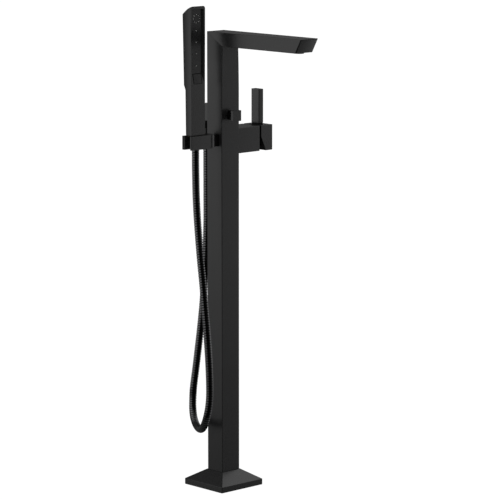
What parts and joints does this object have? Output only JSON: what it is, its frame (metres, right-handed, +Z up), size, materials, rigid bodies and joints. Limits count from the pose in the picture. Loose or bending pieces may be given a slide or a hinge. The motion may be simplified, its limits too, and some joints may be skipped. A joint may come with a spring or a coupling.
{
  "type": "floor standing bath filler",
  "caption": "Square-column floor standing bath filler with a spout, lever mixer, pull diverter and a hand shower on a hose.",
  "frame": {"origin": "centre of the base on the floor", "axes": "+Z up along the column; -Y the way the spout points; +X the side with the mixer valve and its lever; -X the side with the hand shower"},
  "size_m": [0.2389, 0.3407, 1.076],
  "materials": {
    "black_paint": "satin",
    "dark_trim": "satin",
    "brass": "machined",
    "steel": "machined",
    "rubber": "matte",
    "plastic": "matte",
    "hose_cover": "satin"
  },
  "bodies": {
    "root": {"floor_flange": "steel", "collar_screws": "steel", "hot_inlet": "brass", "cold_inlet": "brass", "base_cover": "black_paint", "base_seal": "rubber", "hot_pipe": "brass", "cold_pipe": "brass", "column": "black_paint", "manifold": "brass", "riser_tube": "brass", "spout": "black_paint", "spout_end_plate": "dark_trim", "aerator_socket": "brass", "aerator_washer": "rubber", "aerator_housing": "dark_trim", "aerator_screen": "plastic", "valve_cover": "black_paint", "valve_end_plate": "dark_trim", "valve_core": "brass", "cartridge_seal": "rubber", "cartridge": "plastic", "bonnet": "dark_trim", "diverter_bush": "brass", "diverter_collar": "dark_trim", "elbow_stud": "brass", "outlet_elbow": "black_paint", "outlet_nipple": "dark_trim", "outlet_washer": "rubber", "outlet_nut": "black_paint", "holder_neck": "dark_trim", "holder_screw": "steel", "holder_collar": "black_paint", "holder_gasket": "rubber", "holder_fork": "black_paint", "hose": "hose_cover"},
    "turn": {"rotor": "plastic", "pivot_pin": "steel"},
    "handle": {"handle_stem": "steel", "handle_block": "black_paint", "handle_screw": "steel", "lever": "black_paint", "lever_gasket": "rubber"},
    "diverter": {"diverter_stem": "steel", "diverter_seal": "rubber", "diverter_knob": "black_paint"},
    "handset": {"handset_shell": "black_paint", "spray_face": "dark_trim", "nozzle_mat": "rubber", "button_spring": "steel", "handset_foot": "rubber", "handset_spigot": "brass", "handset_waterway": "plastic", "handset_washer": "rubber", "handset_nut": "black_paint"},
    "button": {"spray_button": "black_paint"}
  },
  "joints": [
    {"name": "handle_turn", "type": "hinge", "parent": "root", "child": "turn", "pos_m": [0.08, 0.0048, 0.775], "axis": [1, 0, 0], "range_deg": [-50, 50]},
    {"name": "handle_tilt", "type": "hinge", "parent": "turn", "child": "handle", "pos_m": [0.08, 0.0048, 0.775], "axis": [0, 1, 0], "range_deg": [0, 24]},
    {"name": "diverter_pull", "type": "slide", "parent": "root", "child": "diverter", "axis": [0, -1, 0], "range_m": [0, 0.009]},
    {"name": "handset_lift", "type": "slide", "parent": "root", "child": "handset", "axis": [0, 0, 1], "range_m": [0, 0.045], "deforming": ["hose"]},
    {"name": "spray_press", "type": "slide", "parent": "handset", "child": "button", "axis": [0, 1, 0], "range_m": [0, 0.0016], "stiffness_N_per_m": 900, "deforming": ["button_spring"]}
  ]
}
